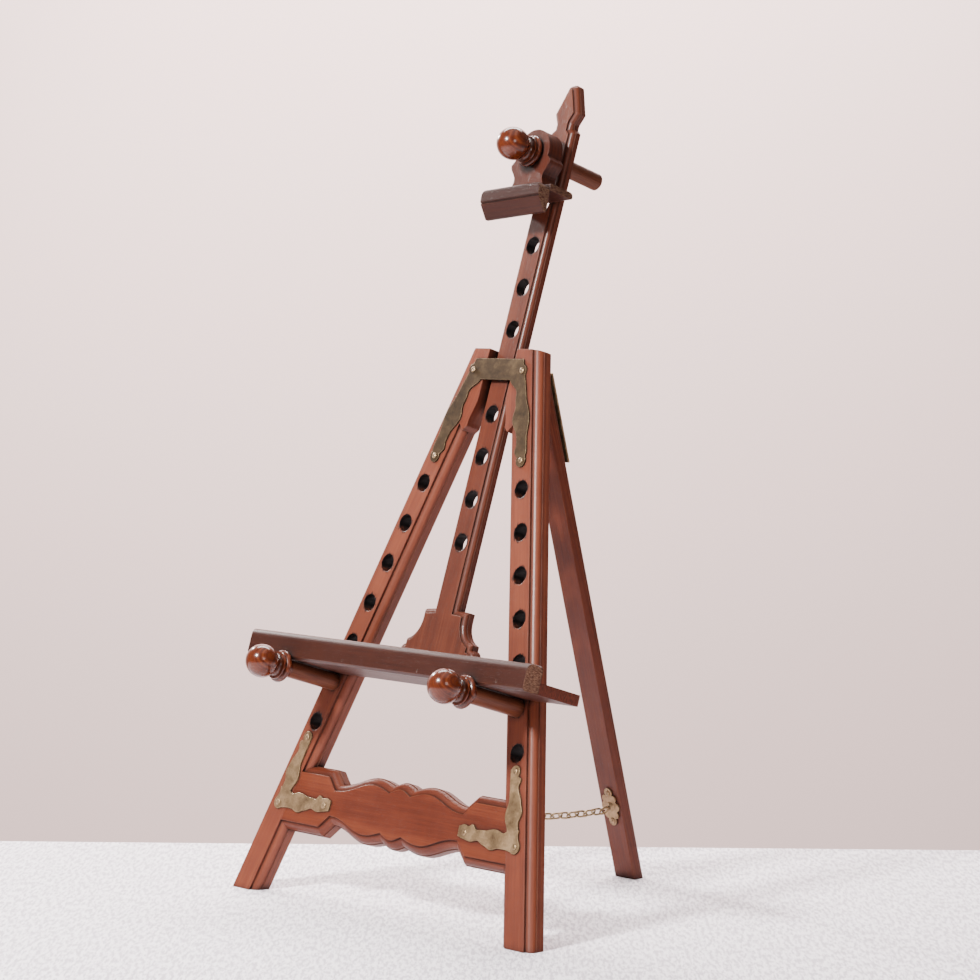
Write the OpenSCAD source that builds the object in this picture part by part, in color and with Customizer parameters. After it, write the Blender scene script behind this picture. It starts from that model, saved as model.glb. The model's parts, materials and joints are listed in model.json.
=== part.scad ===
// Folding wooden artist's easel for a table top: two splayed front legs tied by
// a scalloped stretcher, a sliding mast, a shelf on two pegs, a top clamp held
// by a third peg, and a hinged rear leg kept from spreading by a chain.
// The origin is on the floor, in the middle of the easel's bounding box.

/* [Stance] */
// Backward lean of the front frame from upright, in degrees
lean = 17.25; // [10:0.25:22]
// Half of the angle between the two front legs, in degrees
splay = 17.57; // [14:0.01:20]
// Distance between the legs' centre lines at the floor
foot_spread = 366.4; // [320:0.1:440]
// Height of the front legs' tops, measured up the frame
frame_h = 497.5; // [480:0.5:560]
// Lean of the open rear leg from upright, in degrees
rear_lean = 14.07; // [8:0.01:20]

/* [Stock and mouldings] */
// Width of a front leg
leg_w = 36.9; // [32:0.1:42]
// Thickness of the front legs and the stretcher
leg_t = 15; // [12:0.5:20]
// Width of the moulding on an edge
mould_w = 7.2; // [5:0.1:9]
// Depth of the moulding below the face
mould_d = 7.5; // [5:0.1:10]
// Depth of the small step between the face and the round
mould_step = 2; // [1:0.1:3]

/* [Pegs and peg holes] */
// Diameter of a peg's dowel
peg_d = 15.2; // [12:0.1:18]
// Radial running clearance of a peg in its holes
peg_gap = 0.1; // [0.05:0.01:0.1]
// Distance between holes along a front leg
leg_pitch = 38.4; // [36:0.1:44]
// Distance from the floor to the top hole, along a front leg
top_hole = 393.5; // [380:0.5:400]
// Number of holes in a front leg
leg_holes = 7; // [6:1:8]
// Hole that holds the shelf, counted down from the top one
shelf_hole = 6; // [4:1:6]
// Diameter of a peg's ball
ball_d = 28.8; // [24:0.1:32]
// Diameter of a peg's collar
collar_d = 28.4; // [22:0.1:32]
// Distance from the ball's centre to the collar's back
collar_reach = 23; // [22:0.1:26]
// Distance from the ball's centre to the dowel's end
peg_reach = 103; // [98:0.5:120]

/* [Stretcher] */
// Height of the stretcher's middle line, measured up the frame
rail_v = 88; // [84:0.5:110]
// Half height of the stretcher at its ends
rail_end_h = 29.5; // [28:0.5:34]
// Half height at the two notches
rail_notch_h = 18.3; // [16:0.1:22]
// Distance from the middle to a notch
rail_notch_u = 83; // [70:1:84]
// Distance from the middle to the corner of an end
rail_corner_u = 95.5; // [94:0.5:100]
// Half height at the cusps
rail_cusp_h = 24.8; // [22:0.1:26]
// Distance from the middle to a cusp
rail_cusp_u = 14.4; // [12:0.1:18]
// Half height at the crests
rail_crest_h = 29; // [27:0.1:31]
// Distance from the middle to a crest
rail_crest_u = 37; // [32:1:42]

/* [Mast] */
// Width of the mast
mast_w = 31; // [28:0.5:32]
// Thickness of the mast
mast_t = 10; // [8:0.5:11]
// Length of the mast with its foot and finial
mast_len = 524; // [500:1:640]
// Height of the mast's bottom, measured up the frame
mast_v = 216; // [160:1:240]
// Extra lean of the mast in its slot, in degrees
mast_lean = 0.6; // [0:0.1:0.8]
// Number of holes in the mast
mast_holes = 10; // [8:1:10]
// Distance between holes along the mast
mast_pitch = 38; // [36:0.5:38]
// Distance from the mast's bottom to its lowest hole
mast_first_hole = 110; // [100:1:112]
// Width of the moulding on the mast
mast_mould_w = 4.8; // [3:0.1:6]
// Depth of the moulding on the mast
mast_mould_d = 5; // [3:0.1:6]
// Half width of the mast's flared foot
mast_foot_hw = 50; // [44:1:54]
// Clear gap on each side of the mast in its slot
slot_gap = 2.5; // [1:0.1:4]

/* [Top clamp] */
// Turn of the clamp about its peg, in degrees
clamp_roll = 5; // [0:0.5:8]
// Gap between the clamp's arched block and the mast
clamp_standoff = 9; // [6:0.5:14]
// Thickness of the arched block
clamp_t = 16; // [12:0.5:20]
// Radius of the arch
clamp_arch_r = 21; // [18:0.5:24]
// Distance from the peg down to the block's base
clamp_drop = 33; // [28:0.1:36]
// Length of the ledge and its lip
clamp_len = 74; // [60:1:90]
// Thickness of the ledge board
ledge_t = 6; // [6:0.1:12]
// Thickness of the lip
clamp_lip_t = 12.5; // [8:0.5:16]
// Height of the lip
clamp_lip_h = 24.5; // [16:0.5:28]

/* [Shelf] */
// Length of the shelf
shelf_len = 376; // [320:1:440]
// Distance that the shelf sits to the right of the middle
shelf_shift = 5.5; // [0:0.5:8]
// Distance from the legs to the lip's front
shelf_depth = 58; // [48:0.5:66]
// Thickness of the shelf's lip
shelf_lip_t = 13; // [10:0.5:18]
// Height of the lip, from the board's underside
shelf_lip_h = 23; // [18:0.5:36]
// Thickness of the board
shelf_t = 9.5; // [6:0.1:14]

/* [Rear leg, hinge and block] */
// Width of the rear leg
rear_w = 24.5; // [20:0.5:36]
// Thickness of the rear leg
rear_t = 16; // [12:0.5:20]
// Distance from the legs' tops down to the cross block
block_drop = 16.5; // [15.5:0.5:20]
// Height of the cross block
block_h = 24; // [22:0.5:28]
// Width of the cross block
block_w = 54; // [50:1:60]
// Thickness of the cross block
block_t = 18.5; // [14:0.5:24]
// Thickness of the brass sheet
brass_t = 1.5; // [1:0.1:2]
// Radius of the hinge's knuckles
knuckle_r = 2.6; // [2.4:0.1:3]
// Radius of the hinge's pin
hinge_pin_r = 1.25; // [1:0.05:1.4]
// Width of the hinge
hinge_w = 20; // [16:0.5:22]
// Length of the strap down the rear leg's back
strap_len = 79; // [60:1:110]

/* [Chain] */
// Radius of the wire in the chain's links
wire_r = 0.9; // [0.7:0.05:1]
// Half width of a link, between its wire's centre lines
link_hw = 3.1; // [2.8:0.1:3.6]
// Number of links on the stretcher's half of the chain
front_links = 10; // [10:2:12]
// Number of links on the rear leg's half of the chain
rear_links = 11; // [11:2:13]
// Sag of the chain at its middle
chain_sag = 8; // [4:0.5:12]
// Distance from the hinge down to the rear eye, along the leg
eye_drop = 398; // [380:1:420]
// Height of the stretcher's eye, measured up the frame
eye_v = 104; // [102:1:108]
// Distance that each eye stands out from its face
eye_reach = 12.5; // [10:0.5:14]

/* [Hidden] */
$fn = 64;

wood = "saddlebrown";
turned = "sienna";
brass = "darkkhaki";

// Clearances and small fixed details
rest_gap = 0.3;
bore_gap = 0.05;
over = 1;
far = 900;
arc_steps = 6;
fillet_w = 0.7;
ledge_w = 1;
screw_r = 1.3;
screw_head_r = 2.6;
screw_head_h = 0.8;
screw_len = 9;
nail_r = 0.8;
dowel_r = 3;
dowel_len = 24;

// Driving lines of the frame
foot_half = foot_spread / 2;
leg_half = leg_w / 2;
flat_half = leg_half - mould_w;
slot_half = mast_w / 2 + slot_gap;
peg_r = peg_d / 2;
hole_r = peg_r + peg_gap;
block_back = leg_t + block_t;
block_v1 = frame_h - block_drop;
block_v0 = block_v1 - block_h;
frame_q = frame_h / cos(splay);

// The shelf's pegs: distance up the leg, and place in the frame
shelf_q = top_hole - (shelf_hole - 1) * leg_pitch;
shelf_u = foot_half - shelf_q * sin(splay);
shelf_peg_v = shelf_q * cos(splay);
shelf_v = shelf_peg_v + peg_r + rest_gap;
shelf_ball_w = shelf_depth + rest_gap + collar_reach;

// The mast's top hole, and the clamp's peg
clamp_s = mast_first_hole + (mast_holes - 1) * mast_pitch;
mast_front_w = -1.5;
clamp_front = clamp_standoff + clamp_t;
lip_back = clamp_front + 2;
clamp_shift = -3;
clamp_ball_w = clamp_front + rest_gap + collar_reach;

// The hinge's axis, in the frame and in space
hinge_v = block_v1 + knuckle_r + 1.4;
hinge_w_off = -(block_back + knuckle_r);
rear_front = -(knuckle_r - brass_t - 0.5);

// A point of the frame's plane in space: u across, v up the frame, w out of its front
function in_space(u, v, w) = [u, v * sin(lean) - w * cos(lean), v * cos(lean) + w * sin(lean)];

hinge_at = in_space(0, hinge_v, hinge_w_off);
rear_up = [0, -sin(rear_lean), cos(rear_lean)];
rear_out = [0, -cos(rear_lean), -sin(rear_lean)];

// The bounding box's middle, from the shelf pegs' balls to the rear foot
front_y = in_space(0, shelf_peg_v, shelf_ball_w)[1] - ball_d / 2;
rear_foot_y = hinge_at[1] + hinge_at[2] * tan(rear_lean) + (rear_front + rear_t) / cos(rear_lean);
middle_y = (front_y + rear_foot_y) / 2;

// ---------------------------------------------------------------- outlines

function arc(cx, cy, r, a0, a1, n = arc_steps) =
    [for (i = [0:n]) let (a = a0 + (a1 - a0) * i / n) [cx + r * cos(a), cy + r * sin(a)]];

function flipped(path) = [for (i = [len(path) - 1:-1:0]) [-path[i][0], path[i][1]]];

function side_of(v) = let (l = norm(v)) [-v[1] / l, v[0] / l];

// A closed counter-clockwise outline moved inwards by d, with mitred corners
function inset(path, d) = let (n = len(path)) [for (i = [0:n - 1])
    let (a = path[(i + n - 1) % n], b = path[i], c = path[(i + 1) % n])
    let (m = side_of(b - a), k = side_of(c - b))
    b + d * (m + k) / (1 + m * k)];

// The moulding: a step down from the face, a ledge, a quarter round and a fillet.
// Each entry is the distance in from the edge and the depth below the face.
function moulding(w, d, step) = concat(
    [[0, d]],
    [for (i = [0:arc_steps]) let (a = 90 * i / arc_steps)
        [w - ledge_w - (w - ledge_w - fillet_w) * cos(a), d - (d - step) * sin(a)]],
    [[w, step], [w, 0]]);

// Widths that swell and narrow smoothly between stations [place, half width]
function eased(stations, n = 5) = concat([stations[0]], [for (k = [1:len(stations) - 1])
    for (i = [1:n]) let (a = stations[k - 1], b = stations[k], f = (1 - cos(180 * i / n)) / 2)
    [a[0] + (b[0] - a[0]) * i / n, a[1] + (b[1] - a[1]) * f]]);

// ---------------------------------------------------------------- placing

module in_frame() translate([0, -middle_y, 0]) rotate([90 - lean, 0, 0]) children();

module in_mast() in_frame() translate([0, mast_v, mast_front_w]) rotate([-mast_lean, 0, 0]) children();

module in_clamp() in_mast() translate([0, clamp_s, 0]) rotate([0, 0, clamp_roll]) children();

module in_rear() translate([0, -middle_y, 0] + hinge_at) rotate([rear_lean, 0, 0]) children();

module above_floor() intersection() {
    children();
    translate([-far / 2, -far / 2, 0]) cube([far, far, far]);
}

module on_side(side) mirror([side < 0 ? 1 : 0, 0, 0]) children();

// Along the right leg: y runs up its centre line from the floor
module on_leg() translate([foot_half, 0, 0]) rotate([0, 0, splay]) children();

// Lays a profile drawn in x and y along the x axis, from -len/2 to len/2, with its x along -z
module along_x(len) translate([len / 2, 0, 0]) rotate([0, -90, 0]) linear_extrude(len) children();

// ---------------------------------------------------------------- shared shapes

// A symmetrical board with moulded front edges, from its right edge drawn upwards:
// front face at z = 0, back at z = -t
module moulded_board(right, t, rim) {
    path = concat(right, flipped(right));
    n = len(path);
    levels = concat([[0, t]], rim);
    rings = [for (l = levels) for (p = inset(path, l[0])) [p[0], p[1], -l[1]]];
    top = n * (len(levels) - 1);
    back = [for (i = [0:len(right) - 2]) [i, i + 1, n - 2 - i, n - 1 - i]];
    face = [for (q = back) [for (k = [3:-1:0]) top + q[k]]];
    walls = [for (j = [0:len(levels) - 2]) for (i = [0:n - 1])
        let (a = j * n + i, b = j * n + (i + 1) % n) [a, a + n, b + n, b]];
    polyhedron(rings, concat(back, walls, face));
}

// A straight bar with both front edges moulded, along y
module moulded_bar(w, t, len, rim) {
    edge = [for (r = rim) [w / 2 - r[0], -r[1]]];
    rotate([90, 0, 0]) translate([0, 0, -len])
        linear_extrude(len) polygon(concat([[-w / 2, -t], [w / 2, -t]], edge, flipped(edge)));
}

module drill(r, depth) translate([0, 0, -depth]) cylinder(r = r, h = depth + over);

// A slotted wood screw: its head's underside is at z = 0
module screw(turn = 0) difference() {
    union() {
        translate([0, 0, -screw_len]) cylinder(r = screw_r, h = screw_len);
        cylinder(r = screw_head_r, h = screw_head_h / 2);
        translate([0, 0, screw_head_h / 2])
            cylinder(r1 = screw_head_r, r2 = screw_head_r - 0.9, h = screw_head_h / 2);
    }
    rotate([0, 0, turn]) translate([-screw_head_r - over, -0.35, screw_head_h - 0.5])
        cube([2 * screw_head_r + 2 * over, 0.7, over]);
}

// A turned peg: the ball's centre is at the origin and the dowel points down
module peg() {
    tip = 1.6;
    sphere(d = ball_d);
    rotate_extrude() polygon(concat(
        [[0, 0], [8.8, -8], [8.8, -11]],
        arc(10.6, -12.6, 2.4, 160, 250, 4),
        [[11.9, -15.2], [12.3, -16], [11.9, -16.8], [11, -17.4]],
        arc(collar_d / 2 - 2.3, -collar_reach + 2.7, 2.3, 78, -78, 8),
        [[11, -collar_reach], [0, -collar_reach]]));
    translate([0, 0, -peg_reach + tip]) cylinder(r = peg_r, h = peg_reach - tip - collar_reach + over);
    translate([0, 0, -peg_reach]) cylinder(r1 = peg_r - tip, r2 = peg_r, h = tip);
}

// A flat brass arm from a screw to a screw, along x: each side's stations are [place, half width]
module brass_arm(len, left, right, root_r, tip_r) {
    one = eased(left, 4);
    two = eased(right, 4);
    polygon(concat([for (p = two) [p[0], -p[1]]], [for (i = [len(one) - 1:-1:0]) one[i]]));
    circle(r = root_r);
    translate([len, 0]) circle(r = tip_r);
}

// An elongated link of round wire along x; its end wires' centres are len apart
module link(len) {
    run = len / 2 - link_hw;
    tuck = 0.4;
    for (s = [0, 180]) rotate([0, 0, s]) {
        translate([run, 0, 0]) rotate([0, 0, -90]) rotate_extrude(angle = 180)
            translate([link_hw, 0]) circle(r = wire_r);
        translate([-run - tuck, link_hw, 0]) rotate([0, 90, 0])
            cylinder(r = wire_r - 0.05, h = 2 * (run + tuck));
    }
}

// Moves a shape drawn about x, y and z onto the directions a, b and a x b at point p
module onto(p, a, b) {
    c = cross(a, b);
    multmatrix([[a[0], b[0], c[0], p[0]], [a[1], b[1], c[1], p[1]], [a[2], b[2], c[2], p[2]]])
        children();
}

// ---------------------------------------------------------------- front frame

rim = moulding(mould_w, mould_d, mould_step);

// Where a height of the frame crosses a line parallel to the right leg, t across it
function leg_u(v, t) = foot_half + t / cos(splay) - v * tan(splay);

rail_hi = rail_v + rail_end_h;
rail_lo = rail_v - rail_end_h;

// How far the mitres at the stretcher's corners run out for each millimetre up or down
mitre_hi = (leg_u(rail_hi, -leg_half) - leg_u(rail_hi - mould_w, -flat_half)) / mould_w;
mitre_lo = (leg_u(rail_lo, -leg_half) - leg_u(rail_lo + mould_w, -flat_half)) / mould_w;

// The end of the stretcher, mitred into the leg's inner moulding
function rail_seat(grow) = [
    [rail_corner_u - over, rail_hi + grow],
    [leg_u(rail_hi, -leg_half) + mitre_hi * grow, rail_hi + grow],
    [leg_u(rail_hi - mould_w, -flat_half), rail_hi - mould_w],
    [leg_u(rail_lo + mould_w, -flat_half), rail_lo + mould_w],
    [leg_u(rail_lo, -leg_half) + mitre_lo * grow, rail_lo - grow],
    [rail_corner_u - over, rail_lo - grow]];

// The solid wood between the leg's top and the mast's slot
module leg_cheek() {
    curve = eased([[0, slot_half], [1, slot_half + 7]], 8);
    low = frame_h - 69.5;
    polygon(concat(
        [[leg_u(frame_h, 0), frame_h], [slot_half, frame_h]],
        [for (p = curve) [p[1], frame_h - 42.5 - 27 * p[0]]],
        [[leg_u(low - 4, -leg_half), low - 4], [leg_u(low + 2, -flat_half), low + 2],
         [leg_u(low + 2, 0), low + 2]]));
}

bracket_q = [rail_v - 3.7, rail_v + 59.4];
bracket_tip = [rail_corner_u - 1.4, rail_v - 3.5];
plate_q = [frame_q - 102.7, frame_q - 20.5];
block_screw_u = 22.5;
block_screw_v = [block_v0 + 6, block_v1 - 6];

module at_bracket_screws() {
    for (q = bracket_q) on_leg() translate([0, q, 0]) children();
    translate([bracket_tip[0], bracket_tip[1], 0]) children();
}

module at_plate_screws() for (q = plate_q) on_leg() translate([0, q, 0]) children();

module at_block_screws() for (v = block_screw_v)
    translate([block_screw_u, v, 0]) children();

// Dowels lie along u, at two heights through the stretcher's ends
module at_dowels() for (v = [rail_v - 12, rail_v + 12])
    translate([leg_u(v, -flat_half), v, -leg_t / 2]) rotate([0, 90, 0]) children();

module dowel_bore() translate([0, 0, -dowel_len / 2 - over])
    cylinder(r = dowel_r + bore_gap, h = dowel_len + 2 * over);

module right_leg_shape() above_floor() in_frame() difference() {
    intersection() {
        union() {
            on_leg() translate([0, -30, 0]) moulded_bar(leg_w, leg_t, far, rim);
            translate([0, 0, -leg_t]) linear_extrude(leg_t) leg_cheek();
        }
        translate([slot_half, -far / 2, -leg_t]) cube([far, far / 2 + frame_h, leg_t]);
    }
    translate([0, 0, -leg_t - over]) linear_extrude(leg_t + 2 * over) polygon(rail_seat(0));
    for (k = [0:leg_holes - 1]) on_leg() translate([0, top_hole - k * leg_pitch, 0])
        drill(hole_r, leg_t + over);
    at_bracket_screws() drill(screw_r + bore_gap, screw_len - brass_t + over);
    at_plate_screws() drill(screw_r + bore_gap, screw_len - brass_t + over);
    at_block_screws() translate([0, 0, -leg_t]) mirror([0, 0, 1]) drill(screw_r + bore_gap, screw_len);
    at_dowels() dowel_bore();
}

module right_leg() color(wood) right_leg_shape();

module left_leg() color(wood) mirror([1, 0, 0]) right_leg_shape();

// Half height of the stretcher along its length
function rail_h(u) =
    u < rail_cusp_u ? rail_cusp_h + (rail_crest_h - rail_cusp_h) * cos(90 * u / rail_cusp_u) :
    u < rail_crest_u ? rail_cusp_h + (rail_crest_h - rail_cusp_h)
        * sin(90 * (u - rail_cusp_u) / (rail_crest_u - rail_cusp_u)) :
    rail_notch_h + (rail_crest_h - rail_notch_h)
        * (1 + cos(180 * (u - rail_crest_u) / (rail_notch_u - rail_crest_u))) / 2;

module stretcher() color(wood) in_frame() difference() {
    reach = leg_u(rail_lo, 0);
    us = concat(
        [for (i = [0:4]) rail_cusp_u * i / 5],
        [for (i = [0:6]) rail_cusp_u + (rail_crest_u - rail_cusp_u) * i / 7],
        [for (i = [0:10]) rail_crest_u + (rail_notch_u - rail_crest_u) * i / 10]);
    half = concat([for (u = us) [rail_h(u), u]], [[rail_end_h, rail_corner_u], [rail_end_h, reach]]);
    edge = concat([for (i = [len(half) - 1:-1:1]) [half[i][0], -half[i][1]]], half);
    translate([0, rail_v, 0]) rotate([0, 0, -90]) moulded_board(edge, leg_t, rim);
    for (s = [-1, 1]) on_side(s) {
        translate([0, 0, -leg_t - over]) linear_extrude(leg_t + 2 * over) difference() {
            translate([rail_corner_u, 0]) square([far / 4, 2 * rail_v]);
            polygon(rail_seat(over));
        }
        translate([bracket_tip[0], bracket_tip[1], 0])
            drill(screw_r + bore_gap, screw_len - brass_t + over);
        at_dowels() dowel_bore();
    }
    translate([0, eye_v, -leg_t]) mirror([0, 0, 1]) drill(wire_r + bore_gap, 8);
}

module stretcher_dowels() color(turned) in_frame() for (s = [-1, 1]) on_side(s)
    at_dowels() translate([0, 0, -dowel_len / 2]) cylinder(r = dowel_r, h = dowel_len);

module cross_block() color(wood) in_frame() difference() {
    edge = 2.5;
    translate([0, block_v0, -leg_t]) rotate([-90, 0, 0]) linear_extrude(block_v1 - block_v0)
        polygon([[-block_w / 2, 0], [block_w / 2, 0],
                 [block_w / 2, block_t - edge], [block_w / 2 - edge, block_t],
                 [edge - block_w / 2, block_t], [-block_w / 2, block_t - edge]]);
    for (s = [-1, 1]) on_side(s) at_block_screws() {
        translate([0, 0, -block_back - over]) cylinder(r = screw_r + bore_gap, h = block_t + 2 * over);
        translate([0, 0, -block_back - over]) cylinder(r = screw_head_r + bore_gap, h = block_t - 2 + over);
    }
    at_leaf_screws() drill(screw_r + bore_gap, screw_len);
}

// The block's screws have their heads sunk deep in counterbores
module block_screws() color(brass) in_frame() for (s = [-1, 1]) on_side(s)
    at_block_screws() translate([0, 0, -leg_t - 2]) mirror([0, 0, 1]) screw(30);

module brass_top() {
    bridge = [frame_h - 28, frame_h - 9.5];
    outer = [[0, 3.6], [23.4, 5.5], [45.4, 9.6], [64, 6.5], [74.6, 6.6], [82, 4.5]];
    inner = [[0, 14.3], [4.4, 14.3], [18.4, 6], [25.4, 7.1], [30.4, 6.8], [43, 10.8],
             [60, 5.4], [67, 5.5], [72.8, 7.8], [78, 5.4]];
    for (s = [-1, 1]) on_side(s) on_leg() translate([0, plate_q[1]]) rotate(-90)
        brass_arm(plate_q[1] - plate_q[0], outer, inner, 5.4, 5.6);
    polygon([[-leg_u(bridge[0], 4), bridge[0]], [leg_u(bridge[0], 4), bridge[0]],
             [leg_u(bridge[1], 2), bridge[1]], [-leg_u(bridge[1], 2), bridge[1]]]);
}

module top_plate() color(brass) in_frame() difference() {
    linear_extrude(brass_t) brass_top();
    for (s = [-1, 1]) on_side(s) at_plate_screws() translate([0, 0, brass_t])
        drill(screw_r + bore_gap, brass_t + over);
}

module top_plate_screws() color(brass) in_frame() for (s = [-1, 1]) on_side(s)
    at_plate_screws() translate([0, 0, brass_t]) screw(50 * s);

module bracket_shape() in_frame() difference() {
    corner = [leg_u(bracket_q[0] * cos(splay), 0), bracket_q[0] * cos(splay)];
    arm = bracket_tip - corner;
    leg_in = [[0, 8], [14.8, 8.7], [26.9, 11.3], [42.6, 6.2], [53.7, 5.8], [66, 5.2]];
    leg_out = [[0, 5.2], [7.6, 3.8], [18.6, 3.5], [28, 8], [36, 6.8], [49.1, 3.6],
               [55.7, 6.6], [58.6, 3.6], [66, 4.6]];
    rail_top = [[0, 14], [12.8, 10.7], [17, 8.2], [27, 9.6], [41.7, 6.2], [50.7, 5],
                [56.2, 8.4], [61, 6], [66, 6.7], [72, 4.4]];
    rail_under = [[0, 4.8], [10.2, 4.1], [18.4, 4.6], [28.3, 7.7], [37.5, 5.6], [45.9, 3.3],
                  [55.5, 5.8], [63.5, 5.1], [71, 4.2]];
    linear_extrude(brass_t) {
        on_leg() translate([0, bracket_q[0]]) rotate(90)
            brass_arm(bracket_q[1] - bracket_q[0], leg_in, leg_out, 5.6, 5.2);
        translate(corner) rotate(atan2(arm[1], arm[0])) mirror([0, 1])
            brass_arm(norm(arm), rail_top, rail_under, 5.6, 5);
    }
    at_bracket_screws() translate([0, 0, brass_t]) drill(screw_r + bore_gap, brass_t + over);
}

module right_bracket() color(brass) bracket_shape();

module left_bracket() color(brass) mirror([1, 0, 0]) bracket_shape();

module bracket_screws_shape(turn) in_frame() at_bracket_screws() translate([0, 0, brass_t]) screw(turn);

module right_bracket_screws() color(brass) bracket_screws_shape(80);

module left_bracket_screws() color(brass) mirror([1, 0, 0]) bracket_screws_shape(25);

// ---------------------------------------------------------------- mast

module mast() color(wood) in_mast() difference() {
    hw = mast_w / 2;
    foot = mast_foot_hw;
    shoulder = 52;
    neck = mast_len - 44;
    right = concat(
        [[foot - 6, 0]],
        arc(foot - 8, 12, 8, -50, 75, 8),
        arc(foot - 1.5, 43, 19.5, 257, 180, 8),
        [[foot - 21, shoulder - 1.2], [hw, shoulder], [hw, neck],
         [hw - 4.3, neck + 3.5], [hw - 4.3, neck + 7.5], [hw + 0.7, neck + 17],
         [hw - 4.5, neck + 29.5], [5.5, mast_len - 1.6], [2, mast_len]]);
    moulded_board(right, mast_t, moulding(mast_mould_w, mast_mould_d, 1.4));
    for (k = [0:mast_holes - 1]) translate([0, mast_first_hole + k * mast_pitch, 0])
        drill(hole_r, mast_t + over);
}

// ---------------------------------------------------------------- top clamp

module clamp_block() color(wood) in_clamp() difference() {
    shoulder = clamp_arch_r + 3.5;
    right = concat(
        [[shoulder - 4, -clamp_drop]],
        eased([[-clamp_drop, shoulder - 4], [-clamp_drop + 9.5, shoulder - 6.8], [-9.5, shoulder]], 6)
            * [[0, 1], [1, 0]],
        arc(0, 0, clamp_arch_r, -14, 90, 16));
    translate([0, 0, clamp_standoff]) linear_extrude(clamp_t) polygon(concat(right, flipped(right)));
    translate([0, 0, clamp_front]) drill(hole_r, clamp_t + over);
    at_block_nails() cylinder(r = nail_r + bore_gap, h = 12);
}

module at_block_nails() for (u = [-10, 10])
    translate([u, -clamp_drop, clamp_standoff + clamp_t / 2]) rotate([-90, 0, 0]) children();

module at_lip_nails() for (u = [-24, 24])
    translate([u + clamp_shift, -clamp_drop - ledge_t + 1.6, lip_back + clamp_lip_t]) children();

module clamp_ledge() color(wood) in_clamp() difference() {
    depth = lip_back - 0.4;
    round_r = 3.5;
    translate([clamp_shift, -clamp_drop - ledge_t, lip_back]) along_x(clamp_len) polygon(concat(
        [[0, 0], [0, ledge_t]],
        arc(-depth + round_r, ledge_t - round_r, round_r, 90, 180),
        arc(-depth + 2, 2, 2, 180, 270, 3)));
    at_block_nails() translate([0, 0, -ledge_t - over])
        cylinder(r = nail_r + bore_gap, h = ledge_t + 2 * over);
    at_lip_nails() drill(nail_r + bore_gap, clamp_lip_t + 10);
}

module clamp_lip() color(wood) in_clamp() difference() {
    top = -clamp_drop - 1.5;
    translate([clamp_shift, 0, 0]) intersection() {
        translate([0, top, lip_back]) along_x(clamp_len) polygon(concat(
            [[0, -clamp_lip_h], [3, -clamp_lip_h], [clamp_lip_t - 1, -clamp_lip_h / 2 - 1],
             [clamp_lip_t - 1.6, -clamp_lip_h / 2], [clamp_lip_t, -clamp_lip_h / 2 + 0.8]],
            arc(clamp_lip_t - 3, -3, 3, 0, 90), [[0, 0]]));
        linear_extrude(far) polygon(concat(
            [[-clamp_len / 2, top - clamp_lip_h], [clamp_len / 2, top - clamp_lip_h]],
            arc(clamp_len / 2 - 6, top - 6, 6, 0, 90), arc(-clamp_len / 2 + 6, top - 6, 6, 90, 180)));
    }
    at_lip_nails() drill(nail_r + bore_gap, clamp_lip_t + over);
}

module clamp_nails() color(brass) in_clamp() {
    at_block_nails() translate([0, 0, -ledge_t]) cylinder(r = nail_r, h = ledge_t + 11);
    at_lip_nails() translate([0, 0, -clamp_lip_t - 9]) cylinder(r = nail_r, h = clamp_lip_t + 9);
}

module clamp_peg() color(turned) in_mast() translate([0, clamp_s, clamp_ball_w]) peg();

// ---------------------------------------------------------------- shelf

board_front = shelf_depth - shelf_lip_t;
board_back = 0.6;
lip_bevel = 5;
nail_u = [-150, -50, 50, 150];

module at_shelf_nails() for (u = nail_u)
    translate([u + shelf_shift, shelf_v + shelf_t / 2, shelf_depth]) children();

// Half length of the lip, which is bevelled back at both ends
function lip_end(w) = shelf_len / 2 - lip_bevel * (w - board_front) / shelf_lip_t;

module shelf_board() color(wood) in_frame() difference() {
    translate([shelf_shift - shelf_len / 2, shelf_v, board_back])
        cube([shelf_len, shelf_t, board_front - board_back]);
    at_shelf_nails() drill(nail_r + bore_gap, shelf_lip_t + 14);
}

module shelf_lip() color(wood) in_frame() difference() {
    round_r = 6;
    bevel_w = [board_front - over, shelf_depth + over];
    translate([shelf_shift, 0, 0]) intersection() {
        translate([0, shelf_v, board_front]) along_x(shelf_len) polygon(concat(
            [[0, 0], [shelf_lip_t - 2, 0], [shelf_lip_t, 2]],
            arc(shelf_lip_t - round_r, shelf_lip_h - round_r, round_r, 0, 90), [[0, shelf_lip_h]]));
        translate([0, shelf_v, 0]) linear_extrude(far) polygon(concat(
            [[-shelf_len / 2, 0], [shelf_len / 2, 0]],
            arc(shelf_len / 2 - 5, shelf_lip_h - 5, 5, 0, 90),
            arc(5 - shelf_len / 2, shelf_lip_h - 5, 5, 90, 180)));
        translate([0, shelf_v - over, 0]) rotate([-90, 0, 0]) linear_extrude(shelf_lip_h + 2 * over)
            polygon([[-lip_end(bevel_w[0]), -bevel_w[0]], [-lip_end(bevel_w[1]), -bevel_w[1]],
                     [lip_end(bevel_w[1]), -bevel_w[1]], [lip_end(bevel_w[0]), -bevel_w[0]]]);
    }
    at_shelf_nails() drill(nail_r + bore_gap, shelf_lip_t + over);
}

module shelf_nails() color(brass) in_frame()
    at_shelf_nails() translate([0, 0, -shelf_lip_t - 13]) cylinder(r = nail_r, h = shelf_lip_t + 13);

module right_peg() color(turned) in_frame() translate([shelf_u, shelf_peg_v, shelf_ball_w]) peg();

module left_peg() color(turned) in_frame() translate([-shelf_u, shelf_peg_v, shelf_ball_w]) peg();

// ---------------------------------------------------------------- rear leg and hinge

strap_top = -knuckle_r - 0.4;
leg_top = strap_top - brass_t;
leaf_v0 = block_v1 - 22;
strap_hole_z = [for (f = [0.2, 0.52, 0.84]) leg_top - f * strap_len];
knuckle_w = hinge_w / 3;

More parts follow.
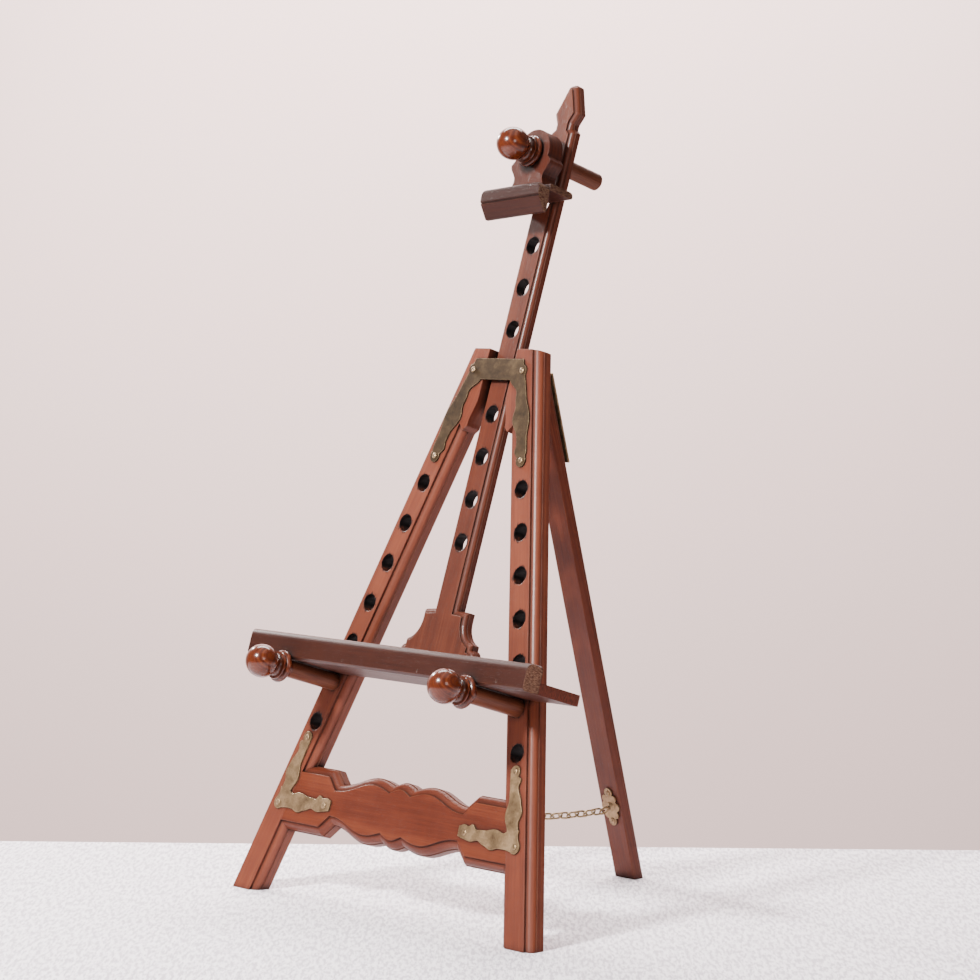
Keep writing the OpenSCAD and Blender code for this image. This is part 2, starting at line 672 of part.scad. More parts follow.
module at_leaf_screws() for (u = [-5.5, 5.5])
    translate([u, block_v1 - 13, -block_back]) mirror([0, 0, 1]) children();

module at_strap_screws() for (z = strap_hole_z)
    translate([0, rear_front + rear_t + brass_t, z]) rotate([-90, 0, 0]) children();

module at_plate_nails() for (d = [-13, 13])
    translate([0, rear_front - brass_t, -eye_drop + d]) rotate([90, 0, 0]) children();

module rear_leg() color(wood) above_floor() in_rear() difference() {
    translate([0, rear_front + rear_t, leg_top]) rotate([90, 0, 180]) translate([0, -far, 0])
        moulded_bar(rear_w, rear_t, far, rim);
    at_strap_screws() drill(screw_r + bore_gap, screw_len + over);
    at_plate_nails() drill(screw_r + bore_gap, screw_len);
    rear_socket();
}

// The hole that the rear eye's shank is screwed into
module rear_socket() translate([0, rear_front, -eye_drop]) rotate([90, 0, 0]) drill(wire_r + bore_gap, 8);

module knuckle(x0, x1) translate([x0, 0, 0]) rotate([0, 90, 0]) cylinder(r = knuckle_r, h = x1 - x0);

module pin_bore() translate([-hinge_w, 0, 0]) rotate([0, 90, 0])
    cylinder(r = hinge_pin_r + bore_gap, h = 2 * hinge_w);

module hinge_leaf() color(brass) in_frame() difference() {
    union() {
        difference() {
            translate([-hinge_w / 2, leaf_v0, -block_back - brass_t])
                cube([hinge_w, hinge_v - leaf_v0, brass_t]);
            translate([-knuckle_w / 2 - rest_gap, hinge_v - knuckle_r - 0.7, -far / 2])
                cube([knuckle_w + 2 * rest_gap, far, far]);
        }
        translate([0, hinge_v, hinge_w_off]) {
            knuckle(-hinge_w / 2, -knuckle_w / 2 - rest_gap);
            knuckle(knuckle_w / 2 + rest_gap, hinge_w / 2);
        }
    }
    translate([0, hinge_v, hinge_w_off]) pin_bore();
    at_leaf_screws() translate([0, 0, brass_t]) drill(screw_head_r + bore_gap, brass_t + over);
}

module hinge_leaf_screws() color(brass) in_frame() at_leaf_screws() screw(15);

module hinge_pin() color(brass) in_frame() translate([-hinge_w / 2 - 0.5, hinge_v, hinge_w_off])
    rotate([0, 90, 0]) cylinder(r = hinge_pin_r, h = hinge_w + 1);

module hinge_strap() color(brass) in_rear() difference() {
    back = rear_front + rear_t;
    union() {
        knuckle(-knuckle_w / 2, knuckle_w / 2);
        translate([-knuckle_w / 2, 0, leg_top]) cube([knuckle_w, knuckle_r, -leg_top]);
        translate([-hinge_w / 2, 0, leg_top]) cube([hinge_w, back + brass_t, brass_t]);
        translate([-hinge_w / 2, back, leg_top - strap_len]) cube([hinge_w, brass_t, strap_len + brass_t]);
    }
    pin_bore();
    at_strap_screws() drill(screw_r + bore_gap, brass_t + over);
}

module hinge_strap_screws() color(brass) in_rear() at_strap_screws() screw(65);

// ---------------------------------------------------------------- chain

// Each half hangs from its eye, and swings aside about an axis square to its first link
front_at = in_space(0, eye_v, -leg_t - eye_reach);
rear_at = hinge_at - eye_drop * rear_up + (eye_reach - rear_front) * rear_out;
links = front_links + rear_links;
link_play = 0.75;
link_len = norm(rear_at - front_at) / links + 2 * wire_r + link_play;
aside = 40;

// The chain's curve: a parabola that hangs below the straight line between the eyes
function hang(f) = front_at + f * (rear_at - front_at) - [0, 0, 4 * chain_sag * f * (1 - f)];

function unit(v) = v / norm(v);

front_dir = unit(hang(1 / links) - hang(0));
rear_dir = unit(hang(1 - 1 / links) - hang(1));
front_axis = unit(cross(front_dir, [-sin(aside), 0, 0] - cos(aside) * in_space(0, 1, 0)));
rear_axis = unit(cross(rear_dir, [cos(aside), 0, 0] - sin(aside) * rear_up));

// A run of links from the one at index first, alternately along and across the axis
module chain_run(first, last, start, axis, tip, tip_side) translate([0, -middle_y, 0])
    for (i = [first:last]) {
        a = hang(i / links);
        b = hang((i + 1) / links);
        dir = unit(b - a);
        square_to = unit(cross(axis, dir));
        flat = unit(cross(dir, square_to));
        turned_link = abs(i - start) % 2 == 1;
        shift = i == tip ? tip_side * (wire_r + 0.15) : 0;
        onto((a + b) / 2 + shift * rear_axis, dir, turned_link ? flat : square_to) link(link_len);
    }

module front_chain() color(brass)
    chain_run(0, front_links - 1, 0, front_axis, front_links - 1, -1);

module rear_chain() color(brass)
    chain_run(front_links, links - 1, links - 1, rear_axis, front_links, 1);

ring_r = 4.2;

// A ring of wire whose far side passes through point p along the swing axis
module eye_ring(p, dir, axis) translate([0, -middle_y, 0])
    onto(p - ring_r * dir, dir, axis) rotate_extrude() translate([ring_r, 0]) circle(r = wire_r);

module front_eye() color(brass) {
    grip = wire_r + 0.2;
    p = front_at + grip * front_dir;
    eye_ring(p, front_dir, front_axis);
    in_frame() translate([0, eye_v, -leg_t]) rotate([180, 0, 0]) {
        cylinder(r = 5, h = brass_t);
        cylinder(r = wire_r + 0.4, h = eye_reach - 2 * ring_r + 1.4);
        translate([0, 0, -7]) cylinder(r = wire_r, h = 8);
    }
}

module rosette() {
    for (s = [-1, 1]) translate([0, 13 * s]) circle(r = 4.6);
    for (s = [-1, 1]) translate([6.5 * s, 0]) circle(r = 4.4);
    for (s = [-1, 1], t = [-1, 1]) translate([5 * s, 7.5 * t]) circle(r = 3.4);
    circle(r = 9);
}

module rear_chain_plate() color(brass) {
    grip = wire_r + 0.2;
    eye_ring(rear_at + grip * rear_dir, rear_dir, rear_axis);
    in_rear() difference() {
        translate([0, rear_front, -eye_drop]) rotate([90, 0, 0]) {
            linear_extrude(brass_t) rosette();
            cylinder(r1 = 6, r2 = 3.2, h = brass_t + 2);
            cylinder(r = wire_r + 0.5, h = eye_reach - 2 * ring_r + 1.4);
            translate([0, 0, -7]) cylinder(r = wire_r, h = 8);
        }
        at_plate_nails() drill(screw_r + bore_gap, brass_t + over);
    }
}

module rear_chain_plate_screws() color(brass) in_rear() at_plate_nails() screw(40);

// ---------------------------------------------------------------- nodes

left_leg();
right_leg();
stretcher();
stretcher_dowels();
cross_block();
block_screws();
top_plate();
top_plate_screws();
left_bracket();
right_bracket();
left_bracket_screws();
right_bracket_screws();
mast();
clamp_block();
clamp_ledge();
clamp_lip();
clamp_nails();
clamp_peg();
shelf_board();
shelf_lip();
shelf_nails();
left_peg();
right_peg();
rear_leg();
hinge_leaf();
hinge_pin();
hinge_strap();
hinge_leaf_screws();
hinge_strap_screws();
front_eye();
front_chain();
rear_chain();
rear_chain_plate();
rear_chain_plate_screws();
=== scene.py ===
import bpy, json, math
from mathutils import Matrix, Vector


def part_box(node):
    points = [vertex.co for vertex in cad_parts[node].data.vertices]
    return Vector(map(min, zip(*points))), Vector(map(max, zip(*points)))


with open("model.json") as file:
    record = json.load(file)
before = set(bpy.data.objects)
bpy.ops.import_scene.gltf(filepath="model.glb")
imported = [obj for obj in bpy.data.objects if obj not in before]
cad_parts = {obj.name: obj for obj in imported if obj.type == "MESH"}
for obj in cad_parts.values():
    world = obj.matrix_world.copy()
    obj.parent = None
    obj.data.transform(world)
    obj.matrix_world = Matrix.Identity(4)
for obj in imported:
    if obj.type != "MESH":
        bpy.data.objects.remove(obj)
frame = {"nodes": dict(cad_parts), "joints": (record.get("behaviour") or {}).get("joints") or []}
nodes = frame["nodes"]
joints = {joint["name"]: joint for joint in frame["joints"]}


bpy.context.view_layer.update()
print("frame loaded:", len(nodes), "nodes")

# the frame's own directions, read from the joints
upFrame = Vector(joints["shelf_lift"]["axis"])
outFrame = Vector(joints["left_peg_pull"]["axis"])
upMast = Vector(joints["mast_slide"]["axis"])
outMast = Vector(joints["clamp_turn"]["axis"])
foldPoint = Vector(joints["fold"]["pos_m"])
acrossAxis = Vector((1, 0, 0))


# shader sockets that add up like numbers

class Wire:
    def __init__(self, maker, socket):
        self.maker = maker
        self.socket = socket

    def math(self, operation, *others):
        return self.maker.node("ShaderNodeMath", {"operation": operation}, self, *others)

    def __add__(self, other):
        return self.math("ADD", other)

    def __sub__(self, other):
        return self.math("SUBTRACT", other)

    def __rsub__(self, other):
        return self.maker.node("ShaderNodeMath", {"operation": "SUBTRACT"}, other, self)

    def __mul__(self, other):
        return self.math("MULTIPLY", other)

    def __truediv__(self, other):
        return self.math("DIVIDE", other)

    def __pow__(self, other):
        return self.math("POWER", other)

    __radd__ = __add__
    __rmul__ = __mul__

    def step(self, low, high):  # smooth 0 to 1 between two values
        return self.maker.node("ShaderNodeMapRange", {"interpolation_type": "SMOOTHSTEP"},
                               self, low, high, 0.0, 1.0)


class Finish:
    def __init__(self, name):
        self.material = bpy.data.materials.new(name)
        self.material.use_nodes = True
        self.tree = self.material.node_tree
        self.shader = self.tree.nodes["Principled BSDF"]

    def slotNamed(self, slots, name):
        return next(slot for slot in slots if slot.name.replace(" ", "") == name)

    def node(self, kind, settings=None, *values, **named):
        made = self.tree.nodes.new(kind)
        out = 0
        for key, value in (settings or {}).items():
            if key == "stops":
                ramp = made.color_ramp
                while len(ramp.elements) < len(value):
                    ramp.elements.new(0.5)
                for element, (place, colour) in zip(ramp.elements, value):
                    element.position = place
                    element.color = (*colour, 1)
            elif key == "out":
                out = value
            else:
                setattr(made, key, value)
        slots = [socket for socket in made.inputs if socket.enabled]
        pairs = list(zip(slots, values))
        pairs += [(self.slotNamed(slots, name), value) for name, value in named.items()]
        for socket, value in pairs:
            if isinstance(value, Wire):
                self.tree.links.new(value.socket, socket)
            elif value is not None:
                socket.default_value = value
        outs = [socket for socket in made.outputs if socket.enabled]
        return Wire(self, outs[out] if isinstance(out, int) else made.outputs[out])

    def noise(self, place, scale, detail=2.0, rough=0.5, warp=0.0):
        return self.node("ShaderNodeTexNoise", None, Vector=place, Scale=scale, Detail=detail,
                         Roughness=rough, Distortion=warp)

    def mix(self, amount, first, second, blend="MIX"):
        return self.node("ShaderNodeMix", {"data_type": "RGBA", "blend_type": blend},
                         amount, first, second)

    def stretch(self, place, scale):
        return self.node("ShaderNodeVectorMath", {"operation": "MULTIPLY"}, place, scale)

    def shift(self, place, by):
        return self.node("ShaderNodeVectorMath", {"operation": "ADD"}, place, tuple(by))

    def dot(self, first, second):
        return self.node("ShaderNodeVectorMath", {"operation": "DOT_PRODUCT", "out": "Value"},
                         first, second)

    def turned(self, place, angles):
        return self.node("ShaderNodeMapping", {"vector_type": "POINT"}, place, None, tuple(angles))

    def bands(self, place, rough):
        return self.node("ShaderNodeTexNoise", {"noise_dimensions": "1D"},
                         W=place, Scale=1.0, Detail=2.0, Roughness=rough)

    def ramp(self, amount, *stops):
        return self.node("ShaderNodeValToRGB", {"stops": stops}, amount)

    def occlusion(self, reach):
        return self.node("ShaderNodeAmbientOcclusion", {"samples": 4, "out": "AO"}, (1, 1, 1, 1), reach)

    def bevelled(self, radius):
        return self.node("ShaderNodeBevel", {"samples": 4}, radius)

    def split(self, vector, index):
        return self.node("ShaderNodeSeparateXYZ", {"out": index}, vector)

    def feed(self, **links):
        for name, value in links.items():
            socket = self.slotNamed(self.shader.inputs, name)
            if isinstance(value, Wire):
                self.tree.links.new(value.socket, socket)
            else:
                socket.default_value = value


def dimmed(colour, factor):
    return (*(part * factor for part in colour), 1)


def turnTo(along, face):
    across = face.cross(along).normalized()
    return Matrix((along, across, along.cross(across))).to_euler()


# stained wood, with the grain along each member

woodLook = {
    "deep": (0.030, 0.0062, 0.0034),
    "dark": (0.088, 0.0155, 0.0062),
    "body": (0.190, 0.0350, 0.0120),
    "light": (0.300, 0.0680, 0.0240),
    "worn": (0.44, 0.150, 0.068),
    "raw": (0.44, 0.250, 0.150),
    "faded": (0.33, 0.145, 0.105),
    # near-black for painted shade in grooves, corners and inside the peg holes, and for torn fibres round
    # the holes
    "soot": (0.004, 0.0018, 0.0013),
}


def woodFinish(name, along, face, centre, seed, tone=1.0, paleEnds=0.0, holes=None, glow=0.0, haze=0.0):
    look = woodLook
    fin = Finish(name)
    place = fin.node("ShaderNodeTexCoord", {"out": "Object"})
    grain = fin.turned(fin.shift(place, -centre), turnTo(along, face))
    seeded = fin.shift(grain, (seed * 1.7, seed * 0.31, seed * 0.53))

    drift = fin.noise(fin.stretch(seeded, (3.0, 14.0, 14.0)), 1.0, 2.0)
    side = fin.split(grain, 1) + (drift - 0.5) * 0.010
    deep = fin.split(grain, 2) + 0.052 + seed * 0.004
    ring = ((side * side + deep * deep) ** 0.5) * 340.0 + (drift - 0.5) * 3.0
    bands = fin.bands(ring, 0.6)
    streaks = fin.noise(fin.stretch(seeded, (16.0, 620.0, 620.0)), 1.0, 4.0, 0.62)
    fibres = fin.noise(fin.stretch(seeded, (70.0, 2600.0, 2600.0)), 1.0, 3.0, 0.6)
    pores = fin.noise(fin.stretch(seeded, (150.0, 3600.0, 3600.0)), 1.0, 1.0).step(0.66, 0.76)
    blotch = fin.noise(seeded, 24.0, 3.0, 0.55)
    figure = fin.noise(fin.stretch(seeded, (46.0, 9.0, 9.0)), 1.0, 2.0, 0.5, 0.6)

    tint = bands * 0.42 + streaks * 0.44 + blotch * 0.20 + figure * 0.14 + fibres * 0.10 - 0.15
    colour = fin.ramp(tint, (0.24, look["dark"]), (0.46, look["body"]), (0.68, look["light"]),
                      (0.9, look["worn"]))
    colour = fin.mix(1.0, colour, (tone, tone * 0.97, tone * 0.96, 1), "MULTIPLY")
    colour = fin.mix(haze, colour, (*look["faded"], 1))
    colour = fin.mix(pores * 0.6, colour, (*look["deep"], 1))

    # rubbed arrises, small bruises and painted shade in grooves and corners
    normal = fin.node("ShaderNodeTexCoord", {"out": "Normal"})
    flat = fin.node("ShaderNodeNewGeometry", {"out": "Normal"})
    soft = fin.bevelled(0.0014)
    edge = 1.0 - fin.dot(soft, flat)
    patches = fin.noise(fin.stretch(seeded, (30.0, 110.0, 110.0)), 1.0, 4.0).step(0.38, 0.66)
    rub = edge.step(0.012, 0.16) * patches
    colour = fin.mix(rub * 0.42, colour, dimmed(look["worn"], 0.35 + 0.5 * tone))
    nicks = fin.noise(fin.stretch(seeded, (90.0, 210.0, 210.0)), 1.0, 2.0).step(0.74, 0.79)
    colour = fin.mix(nicks * 0.5, colour, (*look["deep"], 1))
    # painted shade: ambient occlusion darkens grooves and corners toward near-black
    corner = fin.occlusion(0.007)
    creaseShade = (1.0 - corner).step(0.04, 0.62) * 0.92
    colour = fin.mix(creaseShade, colour, (*look["soot"], 1))

    # end grain
    facing = fin.dot(normal, tuple(along))
    ends = (facing * facing).step(0.30, 0.75)
    specks = fin.noise(fin.stretch(seeded, (900.0, 2600.0, 300.0)), 1.0, 2.0, 0.6)
    endColour = fin.mix(specks.step(0.40, 0.62), dimmed(look["dark"], 0.5),
                        (*(look["raw"] if paleEnds else look["body"]), 1))
    colour = fin.mix(ends * (paleEnds or 0.55), colour, endColour)

    # torn fibres at the peg holes, and painted shade on the hole walls
    wall = 0.0
    if holes:
        first, pitch, radius, count = holes
        run = fin.split(grain, 0) - first
        wrapped = fin.node("ShaderNodeMath", {"operation": "PINGPONG"}, run, pitch / 2)
        cross = fin.split(grain, 1)
        reach = (wrapped * wrapped + cross * cross) ** 0.5
        last = (count - 0.55) * pitch
        inRow = run.step(-pitch * 0.45, -pitch * 0.4) * (1.0 - run.step(last - 0.05 * pitch, last))
        torn = fin.noise(fin.stretch(seeded, (150.0, 520.0, 520.0)), 1.0, 3.0, 0.7)
        lip = (1.0 - (reach - (torn - 0.5) * 0.0105).step(radius + 0.0001, radius + 0.0011)) * inRow
        # painted shade: the walls inside the holes are painted near-black and made rough
        wall = (1.0 - reach.step(radius + 0.00002, radius + 0.00012)) * inRow
        colour = fin.mix(lip * 0.82, colour, (*look["soot"], 1))
        colour = fin.mix(wall, colour, (*look["soot"], 1))

    rough = 0.36 + streaks * 0.16 + blotch * 0.10 + ends * 0.22 + creaseShade * 0.25 - rub * 0.06 + wall * 0.5
    relief = fibres * 0.3 + streaks * 0.5 - pores * 0.8 - nicks * 0.9
    bump = fin.node("ShaderNodeBump", None, Strength=0.32, Distance=0.00045, Height=relief, Normal=soft)
    fin.feed(BaseColor=colour, Roughness=rough, Normal=bump, CoatWeight=0.05 + glow, CoatRoughness=0.2,
             SpecularIORLevel=0.2)
    return fin.material


# turned wood on the pegs: glossy, with the figure of a turned blank

turnedLook = {
    "dark": (0.046, 0.0080, 0.0029), "body": (0.074, 0.0138, 0.0042), "light": (0.110, 0.0240, 0.0068),
    "dowelDark": (0.060, 0.0140, 0.0056), "dowelLight": (0.130, 0.0420, 0.0170),
    "dowelFrom": -0.029,
}


def turnedFinish(name, along, centre, seed):
    look = turnedLook
    fin = Finish(name)
    place = fin.node("ShaderNodeTexCoord", {"out": "Object"})
    side = acrossAxis if abs(along.x) < 0.9 else Vector((0, 1, 0))
    face = (side - along * side.dot(along)).normalized()
    grain = fin.turned(fin.shift(place, -centre), turnTo(along, face))
    seeded = fin.shift(grain, (seed * 0.9, seed * 0.37, seed * 0.61))
    drift = fin.noise(fin.stretch(seeded, (12.0, 40.0, 40.0)), 1.0, 2.0)
    left = fin.split(grain, 1) + 0.013 + (drift - 0.5) * 0.006
    rise = fin.split(grain, 2) - 0.030
    ring = ((left * left + rise * rise) ** 0.5) * 620.0 + (drift - 0.5) * 4.0
    bands = fin.bands(ring, 0.55)
    fibres = fin.noise(fin.stretch(seeded, (60.0, 1400.0, 1400.0)), 1.0, 4.0, 0.6)
    tint = bands * 0.75 + fibres * 0.35 - 0.05
    colour = fin.ramp(tint, (0.28, look["dark"]), (0.5, look["body"]), (0.74, look["light"]))
    # painted shade: ambient occlusion darkens the creases of the turning toward near-black
    corner = fin.occlusion(0.006)
    creaseShade = (1.0 - corner) * 0.9
    colour = fin.mix(creaseShade, colour, (*woodLook["soot"], 1))
    shaft = 1.0 - fin.split(grain, 0).step(look["dowelFrom"], look["dowelFrom"] + 0.0005)
    dowel = fin.mix(fibres.step(0.3, 0.7), (*look["dowelDark"], 1), (*look["dowelLight"], 1))
    colour = fin.mix(shaft * 0.6, colour, dowel)  # duller and paler below the collar
    rough = 0.20 + fibres * 0.08 + creaseShade * 0.3 + shaft * 0.26
    bump = fin.node("ShaderNodeBump", None, Strength=0.12, Distance=0.0003, Height=fibres)
    fin.feed(BaseColor=colour, Roughness=rough, Normal=bump, CoatWeight=0.34 - shaft * 0.3,
             CoatRoughness=0.06, SpecularIORLevel=0.2)
    return fin.material


# aged brass

brassLook = {
    "nail": {"dark": (0.012, 0.006, 0.004), "body": (0.030, 0.015, 0.010), "light": (0.06, 0.03, 0.02),
             "shine": 0.5, "rubbed": 0.0},
    # painted shade: a darker copy of the plate brass, standing in for the shade on the top plate
    "old": {"dark": (0.018, 0.010, 0.0045), "body": (0.056, 0.033, 0.015), "light": (0.135, 0.087, 0.043),
            "shine": 0.4, "rubbed": 0.5},
    "plate": {"dark": (0.060, 0.036, 0.017), "body": (0.240, 0.156, 0.080), "light": (0.48, 0.335, 0.190),
              "shine": 0.36, "rubbed": 0.5},
    "screw": {"dark": (0.06, 0.036, 0.017), "body": (0.24, 0.155, 0.080), "light": (0.52, 0.37, 0.215),
              "shine": 0.33, "rubbed": 0.5},
    "chain": {"dark": (0.085, 0.056, 0.026), "body": (0.30, 0.212, 0.112), "light": (0.60, 0.46, 0.27),
              "shine": 0.32, "rubbed": 0.5},
}


def brassFinish(name, kind, seed):
    look = brassLook[kind]
    fin = Finish(name)
    place = fin.node("ShaderNodeTexCoord", {"out": "Object"})
    seeded = fin.shift(place, (seed * 0.7, seed * 0.2, seed * 0.4))
    cloud = fin.noise(seeded, 70.0, 5.0, 0.62, 0.4)
    speck = fin.noise(seeded, 620.0, 3.0, 0.7)
    rubbed = fin.noise(fin.stretch(seeded, (130.0, 420.0, 130.0)), 1.0, 3.0, 0.6)
    tint = cloud * 0.62 + speck * 0.22 + rubbed * 0.30 - 0.08
    colour = fin.ramp(tint, (0.26, look["dark"]), (0.5, look["body"]), (0.78, look["light"]))
    flat = fin.node("ShaderNodeNewGeometry", {"out": "Normal"})
    soft = fin.bevelled(0.0006)
    edge = 1.0 - fin.dot(soft, flat)
    rub = edge.step(0.01, 0.18)
    colour = fin.mix(rub * look["rubbed"], colour, (0.52, 0.38, 0.205, 1))
    corner = fin.occlusion(0.003)
    grime = (1.0 - corner).step(0.12, 0.75)
    colour = fin.mix(grime * 0.8, colour, (0.016, 0.011, 0.006, 1))
    rough = look["shine"] + cloud * 0.16 + speck * 0.10 - rub * 0.10 + grime * 0.3
    bump = fin.node("ShaderNodeBump", None, Strength=0.25, Distance=0.0003,
                    Height=cloud * 0.7 + speck * 0.4, Normal=soft)
    fin.feed(BaseColor=colour, Metallic=0.80 - grime * 0.4, Roughness=rough, Normal=bump)
    return fin.material


def dress(name, material):
    node = nodes[name]
    node.data.materials.clear()
    node.data.materials.append(material)


def middle(name):
    low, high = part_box(name)
    return (Vector(low) + Vector(high)) / 2


legTilt = math.radians(17.57)
clampRoll = math.radians(5)
pegLook = {"aboveAxis": 0.0016, "ballAhead": 0.0443}  # from the middle of a peg's box
holeLook = {"radius": 0.0077, "legPitch": 0.0384, "legCount": 7, "mastPitch": 0.038, "mastCount": 10}
rolled = (acrossAxis * math.cos(clampRoll) + upMast * math.sin(clampRoll)).normalized()
rearWay = (middle("rear_leg") - foldPoint).normalized()


def pegAxis(peg, up):
    return middle(peg) - up * pegLook["aboveAxis"]


def pegBall(point, out):
    return point + out * pegLook["ballAhead"]


# the shelf's pegs sit one hole above the lowest, so a leg's row starts one pitch below its peg
for legName, pegName, side, legSeed, pegSeed in (("left_leg", "left_peg", 1, 3, 2),
                                                 ("right_leg", "right_peg", -1, 8, 5)):
    alongLeg = acrossAxis * side * math.sin(legTilt) + upFrame * math.cos(legTilt)
    seat = pegAxis(pegName, upFrame)
    row = (-holeLook["legPitch"], holeLook["legPitch"], holeLook["radius"], holeLook["legCount"])
    dress(legName, woodFinish(legName + "Wood", alongLeg.normalized(), outFrame, seat, legSeed,
                              holes=row, tone=0.52, glow=0.06, haze=0.07))
    dress(pegName, turnedFinish(pegName + "Wood", outFrame, pegBall(seat, outFrame), pegSeed))

mastRow = (-(holeLook["mastCount"] - 1) * holeLook["mastPitch"], holeLook["mastPitch"],
           holeLook["radius"], holeLook["mastCount"])
dress("mast", woodFinish("mastWood", upMast, outMast, pegAxis("clamp_peg", upMast), 17,
                         holes=mastRow, tone=0.35, glow=0.06, haze=0.03))
dress("clamp_peg", turnedFinish("clampPegWood", outMast, pegBall(middle("clamp_peg"), outMast), 9))
dress("stretcher_dowels", turnedFinish("dowelWood", acrossAxis, middle("stretcher_dowels"), 12))

boardLook = {  # grain direction, face, seed and stain of each plain member
    "stretcher": (acrossAxis, outFrame, 11, {"tone": 0.44, "glow": 0.04}),
    "cross_block": (acrossAxis, outFrame, 13, {"tone": 0.26}),
    "rear_leg": (rearWay, -outFrame, 23, {"tone": 0.44}),
    "shelf_board": (acrossAxis, upFrame, 29, {"tone": 0.17}),
    "shelf_lip": (acrossAxis, outFrame, 31, {"tone": 0.13, "paleEnds": 0.28, "glow": 0.06}),
    "clamp_block": (-rolled.cross(outMast), outMast, 37, {"tone": 0.27}),
    "clamp_ledge": (rolled, outMast, 41, {"tone": 0.13, "paleEnds": 0.25}),
    "clamp_lip": (rolled, outMast, 43, {"tone": 0.11, "paleEnds": 0.4}),
}
for name, (along, face, seed, stain) in boardLook.items():
    dress(name, woodFinish(name + "Wood", along, face, middle(name), seed, **stain))

brassParts = {
    # the top plate gets the darker brass, its shade painted in
    "old": ["top_plate"],
    "plate": ["left_bracket", "right_bracket", "hinge_leaf", "hinge_strap", "rear_chain_plate",
              "front_eye"],
    "screw": ["block_screws", "top_plate_screws", "left_bracket_screws", "right_bracket_screws",
              "hinge_leaf_screws", "hinge_strap_screws", "rear_chain_plate_screws", "hinge_pin"],
    "chain": ["front_chain", "rear_chain"],
    "nail": ["clamp_nails", "shelf_nails"],
}
for kind, names in brassParts.items():
    for index, name in enumerate(names):
        dress(name, brassFinish(name + "Brass", kind, index + 1))
for node in nodes.values():
    bpy.ops.object.select_all(action="DESELECT")
    node.select_set(True)
    bpy.context.view_layer.objects.active = node
    bpy.ops.object.shade_smooth_by_angle(angle=math.radians(28))
bpy.ops.object.select_all(action="DESELECT")
print("finishes done")


# stage, light and camera

stageLook = {
    "heading": 49.43, "tableTurn": 3.2, "tableBack": 0.270, "tableWidth": 5.0, "tableFront": 3.0,
    "cloth": (0.98, 0.93, 0.97), "clothSpeck": (0.50, 0.44, 0.50), "weave": (330.0, 62.0, 1.0),
    "wallPale": (0.86, 0.645, 0.612), "wallDeep": (0.82, 0.610, 0.580), "wallAway": 2.2,
}
heading = math.radians(stageLook["heading"])
lookWay = Vector((-math.sin(heading), math.cos(heading), 0))
middleY = 0.1362504


def stagePlane(name, centre, size, turn):
    bpy.ops.object.select_all(action="DESELECT")
    bpy.ops.mesh.primitive_plane_add(size=1, location=centre, rotation=turn)
    plane = bpy.context.object
    plane.name = name
    plane.scale = (size[0], size[1], 1)
    bpy.ops.object.transform_apply(location=True, rotation=True, scale=True)
    return plane


depth = stageLook["tableFront"] + stageLook["tableBack"]
tableMiddle = lookWay * (stageLook["tableBack"] - depth / 2)
table = stagePlane("table", tuple(tableMiddle), (stageLook["tableWidth"], depth),
                   (0, 0, heading - math.radians(stageLook["tableTurn"])))
cloth = Finish("clothCover")
place = cloth.node("ShaderNodeTexCoord", {"out": "Object"})
across = cloth.turned(place, (0, 0, -heading))
weave = cloth.noise(cloth.stretch(across, stageLook["weave"]), 1.0, 3.0, 0.7)
fold = cloth.noise(place, 22.0, 3.0, 0.6)
speckled = cloth.mix(weave.step(0.42, 0.60) * 0.8, (*stageLook["cloth"], 1), (*stageLook["clothSpeck"], 1))
cloth.feed(BaseColor=speckled, Roughness=0.9,
           Normal=cloth.node("ShaderNodeBump", None, Strength=0.6, Distance=0.0016,
                             Height=weave * 0.5 + fold * 0.9))
table.data.materials.append(cloth.material)

wallMiddle = lookWay * stageLook["wallAway"] + Vector((0, 0, 0.4))
wall = stagePlane("backdrop", tuple(wallMiddle), (9, 7), (math.pi / 2, 0, heading))
paper = Finish("backdropPaper")
grain = paper.noise(paper.node("ShaderNodeTexCoord", {"out": "Object"}), 1.3, 2.0)
paper.feed(BaseColor=paper.mix(grain, (*stageLook["wallDeep"], 1), (*stageLook["wallPale"], 1)),
           Roughness=0.95)
wall.data.materials.append(paper.material)


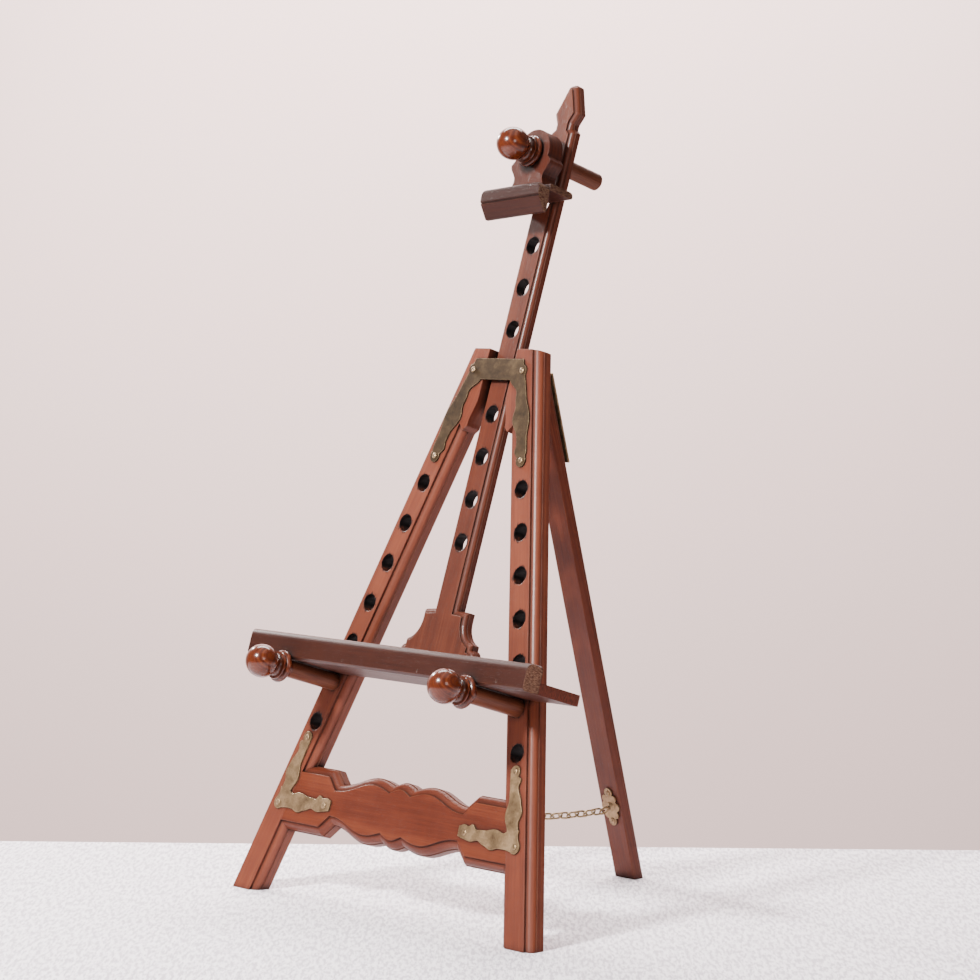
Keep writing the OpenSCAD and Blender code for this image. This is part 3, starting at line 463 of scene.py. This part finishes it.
def areaLight(name, place, aim, size, watts, colour):
    data = bpy.data.lights.new(name, "AREA")
    data.shape = "RECTANGLE"
    data.size, data.size_y = size
    data.energy = watts
    data.color = colour
    light = bpy.data.objects.new(name, data)
    bpy.context.scene.collection.objects.link(light)
    light.location = place
    light.rotation_euler = (Vector(aim) - Vector(place)).to_track_quat("-Z", "Y").to_euler()


easelAim = (0, 0, 0.33)
wallAim = tuple(lookWay * stageLook["wallAway"] + Vector((0, 0, 0.35)))
lightLook = {
    "key": {"from": (0.0, -1.75, 1.6), "size": (0.3, 0.3), "watts": 132,
            "colour": (1.0, 0.975, 0.965), "aim": easelAim},
    "second": {"from": (-2.0, 0.1, 1.3), "size": (0.16, 0.16), "watts": 42,
               "colour": (1.0, 0.97, 0.95), "aim": easelAim},
    "fill": {"from": (2.3, -1.2, 1.3), "size": (0.7, 0.7), "watts": 14,
             "colour": (1.0, 0.96, 0.94), "aim": easelAim},
    "top": {"from": (0.3, -0.2, 2.4), "size": (1.6, 1.6), "watts": 10,
            "colour": (1.0, 0.98, 0.98), "aim": easelAim},
    "wall": {"from": (-0.91, 0.78, 2.1), "size": (1.8, 1.0), "watts": 175,
             "colour": (1.0, 0.95, 0.935), "aim": wallAim},
}
for name, look in lightLook.items():
    areaLight(name, look["from"], look["aim"], look["size"], look["watts"], look["colour"])

roomLook = {"colour": (0.95, 0.92, 0.92), "strength": 0.2}
world = bpy.data.worlds.new("room")
bpy.context.scene.world = world
world.use_nodes = True
background = world.node_tree.nodes["Background"]
background.inputs["Color"].default_value = (*roomLook["colour"], 1)
background.inputs["Strength"].default_value = roomLook["strength"]

cameraLook = {"place": (2.1250, -1.6874 - middleY, 0.5172), "down": 3.338, "lens": 120.0}
cameraData = bpy.data.cameras.new("camera")
cameraData.lens = cameraLook["lens"]
cameraData.sensor_width = 36
camera = bpy.data.objects.new("camera", cameraData)
bpy.context.scene.collection.objects.link(camera)
camera.location = cameraLook["place"]
camera.rotation_euler = (math.radians(90 - cameraLook["down"]), 0, heading)
bpy.context.scene.camera = camera
print("stage done")
